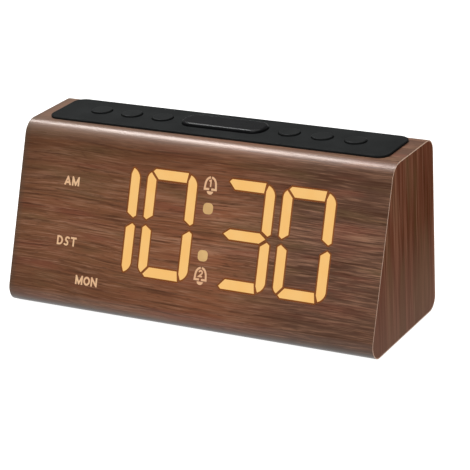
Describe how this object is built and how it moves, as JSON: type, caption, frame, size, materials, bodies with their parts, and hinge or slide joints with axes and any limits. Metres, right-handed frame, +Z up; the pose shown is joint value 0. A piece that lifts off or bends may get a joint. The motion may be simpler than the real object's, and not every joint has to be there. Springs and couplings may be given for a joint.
{
  "type": "digital alarm clock",
  "caption": "Wedge-shaped bedside alarm clock in walnut-grain film, with an amber segment display in its sloping face, a black key deck with snooze bar on top, and a battery bay below.",
  "frame": {"origin": "on the surface that the clock stands on, under the middle of the case", "axes": "+X along the width, to the right as seen from the front; +Y from the front to the back; +Z up"},
  "size_m": [0.2, 0.0734, 0.0914],
  "materials": {
    "shell_plastic": "moulded dark brown ABS",
    "wood_film": "walnut-grain covering film, satin, grain along the width",
    "wood_film_side": "walnut-grain covering film, satin, grain upright",
    "panel_board": "fibreboard panel under the film",
    "deck_plastic": "fine matte black moulding",
    "snooze_plastic": "satin black moulding",
    "key_plastic": "matte black moulding, soft edge",
    "plunger_plastic": "black acetal",
    "switch_metal": "pressed steel switch cover",
    "circuit_board": "green solder mask",
    "screw_steel": "zinc-plated steel",
    "black_screw": "black oxide steel",
    "reflector_plastic": "dark brown light-tight moulding",
    "lit_lens": "amber diffusing light guide, lit",
    "dark_lens": "diffusing light guide, dark",
    "colon_lens": "amber diffusing light guide, dim",
    "indicator_lens": "amber diffusing light guide, lit",
    "led_chip": "surface-mount light-emitting diode",
    "chip_resin": "black epoxy package",
    "inlet_plastic": "black nylon",
    "contact_metal": "nickel-plated steel",
    "socket_metal": "nickel-plated sheet steel",
    "tongue_plastic": "white insulator",
    "knob_plastic": "black acetal",
    "buzzer_plastic": "black sounder case",
    "can_metal": "drawn metal can",
    "can_sleeve": "dark blue shrink sleeve",
    "inductor_ferrite": "moulded ferrite",
    "rear_plastic": "fine matte black moulding",
    "bay_plastic": "black ABS",
    "door_plastic": "black ABS",
    "cell_wrap": "plain printed sleeve over a steel can",
    "spring_steel": "nickel-plated spring wire",
    "foot_rubber": "soft self-adhesive rubber",
    "connector_nylon": "natural nylon",
    "ribbon_cable": "grey ribbon cable",
    "lead_wire": "insulated hook-up wire"
  },
  "bodies": {
    "case": {"battery_box": "bay_plastic", "battery_cells": "cell_wrap", "battery_contacts": "contact_metal", "battery_leads": "lead_wire", "battery_springs": "spring_steel", "board_connectors": "connector_nylon", "body_shell": "shell_plastic", "buzzer": "buzzer_plastic", "clock_crystal": "can_metal", "colon_lenses": "colon_lens", "controller_chip": "chip_resin", "display_board": "circuit_board", "display_board_screws": "screw_steel", "display_driver_chip": "chip_resin", "display_reflector": "reflector_plastic", "display_ribbon": "ribbon_cable", "indicator_lenses": "indicator_lens", "key_board": "circuit_board", "key_board_screws": "screw_steel", "key_deck": "deck_plastic", "key_ribbon": "ribbon_cable", "key_switches": "switch_metal", "led_chips": "led_chip", "main_board": "circuit_board", "main_board_screws": "screw_steel", "power_inductor": "inductor_ferrite", "power_inlet": "inlet_plastic", "power_inlet_pin": "contact_metal", "rear_plate": "rear_plastic", "rear_plate_screws": "black_screw", "rubber_feet": "foot_rubber", "segment_lenses_dark": "dark_lens", "segment_lenses_lit": "lit_lens", "side_panel_left": "panel_board", "side_panel_right": "panel_board", "side_veneer_left": "wood_film_side", "side_veneer_right": "wood_film_side", "smoothing_capacitors": "can_sleeve", "usb_socket_shell": "socket_metal", "usb_socket_tongue": "tongue_plastic", "veneer_wrap": "wood_film", "volume_switch_body": "socket_metal"},
    "alarm_one_key": {"key_alarm_one": "key_plastic", "plunger_alarm_one": "plunger_plastic"},
    "alarm_two_key": {"key_alarm_two": "key_plastic", "plunger_alarm_two": "plunger_plastic"},
    "clock_set_key": {"key_clock_set": "key_plastic", "plunger_clock_set": "plunger_plastic"},
    "minus_key": {"key_minus": "key_plastic", "plunger_minus": "plunger_plastic"},
    "plus_key": {"key_plus": "key_plastic", "plunger_plus": "plunger_plastic"},
    "dimmer_key": {"key_dimmer": "key_plastic", "plunger_dimmer": "plunger_plastic"},
    "snooze": {"snooze_bar": "snooze_plastic", "plungers_snooze": "plunger_plastic"},
    "volume_knob": {"volume_switch_knob": "knob_plastic"},
    "bay_door": {"battery_door": "door_plastic"}
  },
  "joints": [
    {"name": "alarm_one_press", "type": "slide", "parent": "case", "child": "alarm_one_key", "axis": [0, 0, -1], "range_m": [0, 0.0005], "stiffness_N_per_m": 3000},
    {"name": "alarm_two_press", "type": "slide", "parent": "case", "child": "alarm_two_key", "axis": [0, 0, -1], "range_m": [0, 0.0005], "stiffness_N_per_m": 3000},
    {"name": "clock_set_press", "type": "slide", "parent": "case", "child": "clock_set_key", "axis": [0, 0, -1], "range_m": [0, 0.0005], "stiffness_N_per_m": 3000},
    {"name": "minus_press", "type": "slide", "parent": "case", "child": "minus_key", "axis": [0, 0, -1], "range_m": [0, 0.0005], "stiffness_N_per_m": 3000},
    {"name": "plus_press", "type": "slide", "parent": "case", "child": "plus_key", "axis": [0, 0, -1], "range_m": [0, 0.0005], "stiffness_N_per_m": 3000},
    {"name": "dimmer_press", "type": "slide", "parent": "case", "child": "dimmer_key", "axis": [0, 0, -1], "range_m": [0, 0.0005], "stiffness_N_per_m": 3000},
    {"name": "snooze_press", "type": "slide", "parent": "case", "child": "snooze", "axis": [0, 0, -1], "range_m": [0, 0.0005], "stiffness_N_per_m": 5000},
    {"name": "volume_slide", "type": "slide", "parent": "case", "child": "volume_knob", "axis": [1, 0, 0], "range_m": [0, 0.002]},
    {"name": "bay_door_hinge", "type": "hinge", "parent": "case", "child": "bay_door", "pos_m": [0, 0.01235, 0.0023], "axis": [1, 0, 0], "range_deg": [0, 85]}
  ]
}
